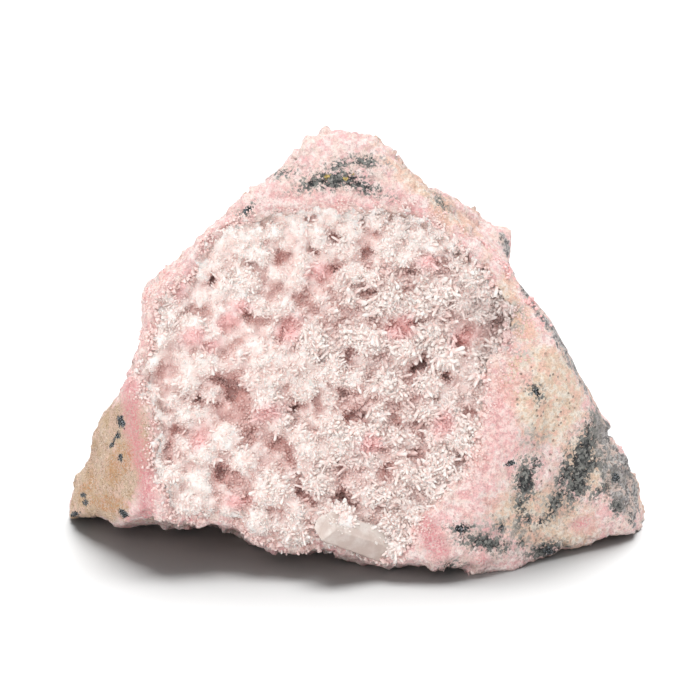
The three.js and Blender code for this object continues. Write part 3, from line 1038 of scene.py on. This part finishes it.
# %% [markdown]
# ## Where crystals grow, and which way
#
# Crystals in a clump fan out like a spray, and all of them lean a little towards the open side of the
# pocket. So the direction of growth at each point is the direction that the surface faces, turned towards
# the open. They stand thick on the clumps, thin out over the pits' floors, and are longer on the right
# than on the left.

# %% Growth rules
OUTWARD = 0.35  # how much the crystals lean towards the pocket's open side
COVER = 0.25 * MM  # how far the crystals' feet stay under the outer skin
TABLE_GAP = 0.4 * MM
DULL_PATCHES = [(24.2, 5.5, 4.6, 3.0, 60), (20, 6.5, 2.4, 1.2, 20), (22.5, -0.5, 1.8, 1.2, 0)]
PINK_LUMPS = [
    (-25.3, 1.9, 2.2, 1.6, 30), (-19.4, 4.5, 2.0, 1.4, 0), (-17.3, 7, 1.6, 1.2, 0),
    (-21.8, 0.8, 1.6, 1.4, 0), (-9.8, 3.4, 2.4, 1.8, 40), (-4.8, 12.6, 2.2, 1.6, 0),
    (8, 3.5, 2.4, 1.8, 20), (12.6, 14, 1.8, 1.2, 0), (-13, -10, 2.4, 1.4, 20), (-24, -14, 2.4, 1.4, 60),
    (3, -15, 2, 1.4, 0), (15, -12, 2.4, 1.6, 80), (17, -26, 3, 2, 60), (-18, -24, 2.4, 1.2, 0),
    (-27, 10, 2, 1.2, 60), (18, 2, 2.2, 1.4, 20),
]


def kept_inside(points):
    """Pulls points that stand too far out back under the outer skin, and up off the table."""
    for row, point in enumerate(points):
        place, normal = outer_skin.find_nearest(Vector(point))[:2]
        if (Vector(point) - place).dot(normal) > -COVER:
            points[row] = place - normal * COVER
    points[:, 2] = np.maximum(points[:, 2], TABLE_GAP)
    return points


def growth_rules(mesh):
    """Stores at each point which way, how thick and how long the crystals grow, and their tints."""
    points, normals = points_of(mesh), normals_of(mesh)
    across, up, deep = on_face(points)
    depth = millimetres_under(outer_skin, points)
    facing = normals @ np.array(-FACE_IN)
    grow = normals - OUTWARD * np.array(FACE_IN)
    carry(mesh, "grow", grow / np.linalg.norm(grow, axis=1)[:, None])
    clear_of_table = rise(points[:, 2] / MM, 1.0, 2.5)
    carry(mesh, "sugar", clear_of_table * rise(facing, -0.4, 0.1))
    crowd = clear_of_table * rise(facing, -0.4, 0.2) * rise(normals[:, 2], -0.7, -0.2)
    crowd = crowd * (0.04 + 0.96 * (1 - rise(depth, 2.0, 3.4)))
    coarse_side = (0.12 + 0.88 * rise(across, -22, -2)) * (1 - 0.7 * rise(up, 6, 18))
    carry(mesh, "crowd", crowd * (0.45 + 0.55 * coarse_side))
    carry(mesh, "needle_crowd", crowd * coarse_side)
    carry(mesh, "blush", within(across, up, PINK_LUMPS) + 0.6 * lumps(points, 2, 91))
    carry(mesh, "dull", within(across, up, DULL_PATCHES) + lumps(points, 3, 92, 3))
    coarse = 0.8 + 0.3 * rise(across, -18, 8) - 0.25 * rise(up, 8, 20) + 0.35 * lumps(points, 8, 1)
    carry(mesh, "size", np.clip(np.minimum(coarse, (depth + 0.5) / 1.6), 0.4, 1.12))
    return points, normals, depth


move_points(druse.data, kept_inside(points_of(druse.data)))
growth_rules(skin)
frost_blush = rise(from_crust, 0, 2.5) * 2 - 1  # pinker the further the frost is from the crust
skin.attributes["blush"].data.foreach_set("value", frost_blush.astype(np.float32))
points, normals, depth = growth_rules(druse.data)
wrinkle = 0.45 * (0.5 - small_cells(points, 0.9)) + 0.15 * lumps(points, 2.0, 62)
move_points(druse.data, points + normals * (wrinkle * MM)[:, None])
carry(druse.data, "depth", depth)
print("the bed lies up to", round(float(depth.max()), 1), "mm under the outer skin")

# %% [markdown]
# ## The growth itself
#
# One tree grows every kind of crystal. It scatters points over the mesh with a least spacing, turns each
# copy of a seed to the stored direction and tilts it by chance, and stretches it to its own length and
# width. The crystals end as real mesh with one material, because a hand-over can't carry copies.

# %% Growth tree
DENSEST_CRYSTALS = 1.0e7  # per square metre, before the spacing thins them out


def growth_tree():
    """Scatters crystals of a collection over a mesh by its own directions, sizes and crowding."""
    tree = bpy.data.node_groups.new("grow_crystals", "GeometryNodeTree")
    wanted = [("Rock", "NodeSocketGeometry", None), ("Seeds", "NodeSocketCollection", None),
              ("Material", "NodeSocketMaterial", None), ("Crowd", "NodeSocketString", "crowd"),
              ("Spacing", "NodeSocketFloat", 1 * MM), ("Shortest", "NodeSocketFloat", 1 * MM),
              ("Longest", "NodeSocketFloat", 2 * MM), ("Slimness", "NodeSocketFloat", 0.15),
              ("Tilt", "NodeSocketFloat", 0.4), ("Chance", "NodeSocketInt", 1)]
    given = start_tree(tree, wanted, "Crystals")
    graph = given.graph

    def chosen(low, high, shift):
        return random_number(graph, low, high, given.more("Chance") * 10 + shift)

    spots = graph.add("GeometryNodeDistributePointsOnFaces", {"distribute_method": "POISSON"},
                      {"Mesh": given.more("Rock"), "Distance Min": given.more("Spacing"),
                       "Density Max": DENSEST_CRYSTALS, "Density Factor": carried(graph, given.more("Crowd")),
                       "Seed": given.more("Chance")})
    grow = carried(graph, "grow", "FLOAT_VECTOR")
    facing = graph.add("FunctionNodeAlignRotationToVector", {"axis": "Z"}, {"Vector": grow})
    tilt = given.more("Tilt")
    lean = graph.add("ShaderNodeCombineXYZ", {}, {"X": chosen(-1.0, 1.0, 1) * tilt,
                                                  "Y": chosen(-1.0, 1.0, 2) * tilt,
                                                  "Z": chosen(0.0, FULL_TURN, 3)})
    lean_turn = graph.add("FunctionNodeEulerToRotation", {}, {0: lean})
    turned = graph.add("FunctionNodeRotateRotation", {"rotation_space": "LOCAL"},
                       {"Rotation": facing, "Rotate By": lean_turn})
    length = chosen(given.more("Shortest"), given.more("Longest"), 4) * carried(graph, "size")
    width = length * given.more("Slimness") * chosen(0.75, 1.35, 5)
    scale = graph.add("ShaderNodeCombineXYZ", {}, {"X": width, "Y": width, "Z": length})
    choice = graph.add("FunctionNodeRandomValue", {"data_type": "INT"},
                       {4: 0, 5: 99, "Seed": given.more("Chance")}, 2)
    kinds = graph.add("GeometryNodeCollectionInfo", {},
                      {"Collection": given.more("Seeds"), "Separate Children": True, "Reset Children": True})
    crystals = graph.add("GeometryNodeInstanceOnPoints", {}, {
        "Points": spots, "Instance": kinds, "Pick Instance": True, "Instance Index": choice,
        "Rotation": turned, "Scale": scale})
    toned = graph.add("GeometryNodeStoreNamedAttribute", {"data_type": "FLOAT", "domain": "INSTANCE"},
                      {"Geometry": crystals, "Name": "tone", "Value": chosen(0.0, 1.0, 6)})
    real = graph.add("GeometryNodeRealizeInstances", {}, {"Geometry": toned})
    done = graph.add("GeometryNodeSetMaterial", {}, {"Geometry": real, "Material": given.more("Material")})
    graph.add("NodeGroupOutput", {}, {"Crystals": done})
    return tree


growth = growth_tree()
KEPT_NUMBERS = {"height", "tone", "depth", "blush", "dull", "position", "sharp_face", "material_index"}


def grown(name, ground, settings):
    """Runs the growth tree over a mesh and returns the crystals as one plain mesh."""
    host = bpy.data.objects.new(name + "_host", ground)
    scene.collection.objects.link(host)
    rules = host.modifiers.new("growth", "NODES")
    rules.node_group = growth
    names = {item.name: item.identifier for item in growth.interface.items_tree if item.in_out == "INPUT"}
    for key, value in settings.items():
        rules[names[key]] = value
    graph = bpy.context.evaluated_depsgraph_get()
    ready = host.evaluated_get(graph)
    mesh = bpy.data.meshes.new_from_object(ready, preserve_all_data_layers=True, depsgraph=graph)
    bpy.data.objects.remove(host)
    for carried_name in [store.name for store in mesh.attributes if not store.is_internal]:
        if carried_name not in KEPT_NUMBERS:
            mesh.attributes.remove(mesh.attributes[carried_name])
    piece = bpy.data.objects.new(name, mesh)
    mesh.name = name
    scene.collection.objects.link(piece)
    print(name + ":", triangles(mesh), "triangles")
    return piece


print("growth tree:", len(growth.nodes), "nodes")

# %% [markdown]
# ## The finish of small quartz
#
# Small quartz is glassy, but so full of tiny flaws that it looks white: light goes in, scatters and comes
# out beside where it went in. So the shader is a little clear glass, with quartz's own IOR of 1.54, and
# mostly a milky body that light soaks through. The foot takes some of the pink of the rock below, and the
# crystals get darker and pinker down in the pits: partly their own pinker colour, partly painted shade.

# %% Quartz materials
QUARTZ_IOR = 1.54
CRYSTAL_TINTS = [  # carried number, from, to, tint, share
    ("blush", -0.8, 1.0, srgb(243, 184, 184), 0.6),
    # partly pinker colour, partly painted shade: darker the deeper a crystal stands in the pits
    ("depth", 2.0, 4.2, srgb(210, 154, 146), 0.6),
    ("dull", -1.5, 1.5, srgb(160, 143, 139), 0.32),
]
BED_TINTS = [
    ("blush", -0.8, 1.0, srgb(242, 180, 180), 0.7),
    # partly pinker colour, partly painted shade: darker the deeper the bed lies in the pits
    ("depth", 2.0, 4.4, srgb(200, 136, 128), 0.75),
    ("dull", -1.5, 1.5, srgb(156, 138, 134), 0.4),
]


def tinted(graph, colour, tints):
    """Lays tints over a colour, each by a number that the mesh carries."""
    for name, low, high, tint, share in tints:
        colour = graph.mottle(colour, tint, graph.own(name), low, high, share)
    return colour


def quartz_material(name, foot, body, tip, roughness):
    """Small crystals, from the colour of their foot to that of their tip."""
    material, graph, shader, _ = new_material(name)
    tone = graph.own("tone")
    colour = graph.mottle(foot, graph.blend(tone, body, tip), graph.own("height"), 0.0, 0.85)
    graph.feed(shader.inputs["Base Color"], tinted(graph, colour, CRYSTAL_TINTS))
    graph.feed(shader.inputs["Roughness"], roughness + tone * 0.12)
    shader.inputs["IOR"].default_value = QUARTZ_IOR
    shader.inputs["Transmission Weight"].default_value = 0.06
    let_light_soak(shader, weight=0.3, radius=(1.0, 0.9, 0.85), reach=0.12)
    return material


def bed_material():
    """The same quartz where it is too fine to show as crystals."""
    material, graph, shader, place = new_material("quartz_bed")
    fine = grain(graph, place, 0.5, 3, 0.6)
    medium = grain(graph, place, 1.6, 3)
    colour = graph.mottle(srgb(246, 226, 220), srgb(252, 244, 240), medium, 0.35, 0.65)
    graph.feed(shader.inputs["Base Color"], tinted(graph, colour, BED_TINTS))
    graph.feed(shader.inputs["Roughness"], 0.3 + (fine - 0.5) * 0.5)
    shader.inputs["IOR"].default_value = QUARTZ_IOR
    let_light_soak(shader, weight=0.6, radius=(1.0, 0.8, 0.75), reach=1.0)
    bump = graph.add("ShaderNodeBump", {}, {"Strength": 0.6, "Distance": 0.15 * MM, "Height": fine + medium})
    graph.feed(shader.inputs["Normal"], bump)
    return material


small_quartz = quartz_material("small_quartz", foot=srgb(244, 218, 212), body=srgb(249, 236, 230),
                               tip=srgb(253, 247, 243), roughness=0.28)
rim_quartz = quartz_material("rim_quartz", foot=srgb(238, 198, 193), body=srgb(245, 216, 210),
                             tip=srgb(250, 230, 225), roughness=0.34)
bed_quartz = bed_material()
print("quartz materials:", small_quartz.name, rim_quartz.name, bed_quartz.name)

# %% [markdown]
# ## Four growths
#
# Long needles stand apart on the coarse right side. Short points fill the clumps between them, and sugar
# covers what is left of the bed. The fourth growth is the frost on the rock past the pocket's rim.

# %% Grow the crystals
GROWTHS = {
    "quartz_needles": {"Seeds": seeds, "Crowd": "needle_crowd", "Spacing": 1.25 * MM, "Shortest": 1.1 * MM,
                       "Longest": 2.1 * MM, "Slimness": 0.125, "Tilt": 0.9, "Chance": 11},
    "quartz_points": {"Seeds": small_seeds, "Crowd": "crowd", "Spacing": 0.66 * MM, "Shortest": 0.75 * MM,
                      "Longest": 1.5 * MM, "Slimness": 0.19, "Tilt": 0.95, "Chance": 12},
    "quartz_sugar": {"Seeds": grains, "Crowd": "sugar", "Spacing": 0.42 * MM, "Shortest": 0.3 * MM,
                     "Longest": 0.6 * MM, "Slimness": 0.55, "Tilt": 0.9, "Chance": 13},
    "rim_sugar": {"Seeds": grains, "Crowd": "rim", "Spacing": 0.36 * MM, "Shortest": 0.7 * MM,
                  "Longest": 1.3 * MM, "Slimness": 0.45, "Tilt": 0.9, "Chance": 14},
}
druse.data.materials.clear()
druse.data.materials.append(bed_quartz)
druse.data.shade_smooth()
print("druse bed:", triangles(druse.data), "triangles")
for name, settings in GROWTHS.items():
    ground, finish = (skin, rim_quartz) if name == "rim_sugar" else (druse.data, small_quartz)
    grown(name, ground, {"Material": finish, **settings})
for name in ("druse_bed", *GROWTHS):
    piece = bpy.data.objects[name]
    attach(piece, "root")
    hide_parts("quartz_druse")

# %% [markdown]
# ## The large milky crystal
#
# One crystal at the pocket's foot grew to 16 mm. It lies half buried, so only two of its sides and its
# blunt point show. It is built ring by ring along its axis, with sides of uneven width, slight swellings
# where growth paused, and a chisel-shaped end, where the faces meet in a short edge instead of a point.

# %% The milky crystal
MILKY_RADIUS = 3.0
MILKY_WIDER = (0.2, -0.3, 0.25, 0.1, -0.2, 0.15)
MILKY_CORNERS = [(math.radians(60 * i + 24), MILKY_RADIUS + wider) for i, wider in enumerate(MILKY_WIDER)]
MILKY_RINGS = [0, 0.12, 0.27, 0.34, 0.5, 0.61, 0.72, 0.86]  # shares of the length
MILKY_TAPER = 0.12
END_EDGE = 0.9 * MM
milky_tip = from_face(-5.4, -27.6, -0.8)
milky_root = from_face(6.0, -31.9, 4.8)
milky_along = (milky_tip - milky_root).normalized()
milky_side = milky_along.cross(FACE_IN).normalized()


def milky_rings(work):
    """The crystal's rings of six points, each a little wider or slimmer than the last."""
    upward = milky_side.cross(milky_along).normalized()
    length = (milky_tip - milky_root).length
    chance = np.random.default_rng(5)
    rings = []
    for share in MILKY_RINGS:
        shrink = 1 - MILKY_TAPER * share + chance.uniform(-0.015, 0.015)
        ring = []
        for index, (turn, wide) in enumerate(MILKY_CORNERS):
            zigzag = 0.05 * (1 if index % 2 else -1) if share == MILKY_RINGS[-1] else 0
            reach = wide * shrink * MM
            spot = milky_root + milky_along * length * (share + zigzag)
            sideways = milky_side * reach * math.cos(turn)
            upwards = upward * reach * math.sin(turn)
            ring.append(work.verts.new(spot + sideways + upwards))
        rings.append(ring)
    return rings


def close_end(work, last):
    """Slants the end's faces to a short edge: each corner's faces go to one end of it or to both."""
    ends = [work.verts.new(milky_tip + milky_side * END_EDGE * s) for s in (-1, 1)]
    nearer = []
    for i in range(6):
        middle = (last[i].co + last[(i + 1) % 6].co) / 2 - milky_tip
        nearer.append(int(middle.dot(milky_side) > 0))
        work.faces.new((last[i], last[(i + 1) % 6], ends[nearer[i]]))
    for i in range(6):
        if nearer[i - 1] != nearer[i]:
            work.faces.new((last[i], ends[nearer[i]], ends[nearer[i - 1]]))


def milky_crystal():
    """The crystal as one closed piece with worn edges and gently uneven faces."""
    work = bmesh.new()
    rings = milky_rings(work)
    for first, second in zip(rings, rings[1:]):
        for i in range(6):
            work.faces.new((first[i], first[(i + 1) % 6], second[(i + 1) % 6], second[i]))
    work.faces.new(rings[0][::-1])
    close_end(work, rings[-1])
    bmesh.ops.recalc_face_normals(work, faces=work.faces)
    mesh = bpy.data.meshes.new("milky_quartz")
    work.to_mesh(mesh)
    work.free()
    piece = bpy.data.objects.new("milky_quartz", mesh)
    scene.collection.objects.link(piece)
    edge = piece.modifiers.new("worn edges", "BEVEL")
    edge.width = 0.12 * MM
    edge.segments = 2
    fine = piece.modifiers.new("fine", "SUBSURF")
    fine.subdivision_type = "SIMPLE"
    fine.levels = fine.render_levels = 3
    apply_modifiers(piece)
    points, normals = points_of(piece.data), normals_of(piece.data)
    # how far each face turns to the crystal's shaded side, for the painted shade there
    carry(piece.data, "under", rise(normals @ np.array(milky_side), 0.1, 0.6))
    carry(piece.data, "along", (points - np.array(milky_root)) @ np.array(milky_along) / MM)
    uneven = lumps(points, 1.6, 51) * 0.05 + lumps(points, 5, 52) * 0.16
    move_points(piece.data, points + normals * (uneven * MM)[:, None])
    piece.data.shade_flat()
    return piece


crystal = milky_crystal()
print("milky crystal:", len(crystal.data.polygons), "faces")

# %% [markdown]
# ## Its finish
#
# The large crystal is clearer and shinier than the small ones, with milky clouds, painted shade on its
# underside and the fine cross lines that slow growth leaves on quartz. The lines are noise along the axis
# only, used as a bump.

# %% Milky material
def milky_material():
    material, graph, shader, place = new_material("milky_quartz")
    cloud = grain(graph, place, 2.2, 4, 0.6)
    fine = grain(graph, place, 0.5, 3)
    colour = graph.mottle(srgb(216, 198, 189), srgb(238, 228, 221), cloud, 0.35, 0.65)
    colour = graph.mottle(colour, srgb(208, 184, 172), fine, 0.55, 0.7, 0.3)
    # painted shade: the faces on the shaded side are darker
    colour = graph.blend(graph.own("under") * 0.7, colour, srgb(196, 172, 163))
    graph.feed(shader.inputs["Base Color"], colour)
    graph.feed(shader.inputs["Roughness"], 0.16 + (cloud - 0.5) * 0.2)
    shader.inputs["IOR"].default_value = QUARTZ_IOR
    shader.inputs["Transmission Weight"].default_value = 0.12
    let_light_soak(shader, weight=0.35, radius=(1.0, 0.85, 0.8), reach=0.5)
    along_axis = {"W": graph.own("along") * 3, "Detail": 3.0}
    lines = graph.add("ShaderNodeTexNoise", {"noise_dimensions": "1D"}, along_axis)
    height = fine * 0.5 + lines
    bump = graph.add("ShaderNodeBump", {}, {"Strength": 0.5, "Distance": 0.2 * MM, "Height": height})
    graph.feed(shader.inputs["Normal"], bump)
    return material


crystal.data.materials.append(milky_material())
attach(crystal, "root")
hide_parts("milky_crystal")
print("milky crystal's material:", crystal.data.materials[0].name)

# %% Finish
print("solid box:", [round(v / MM, 1) for v in (*cad_low, *cad_high)])
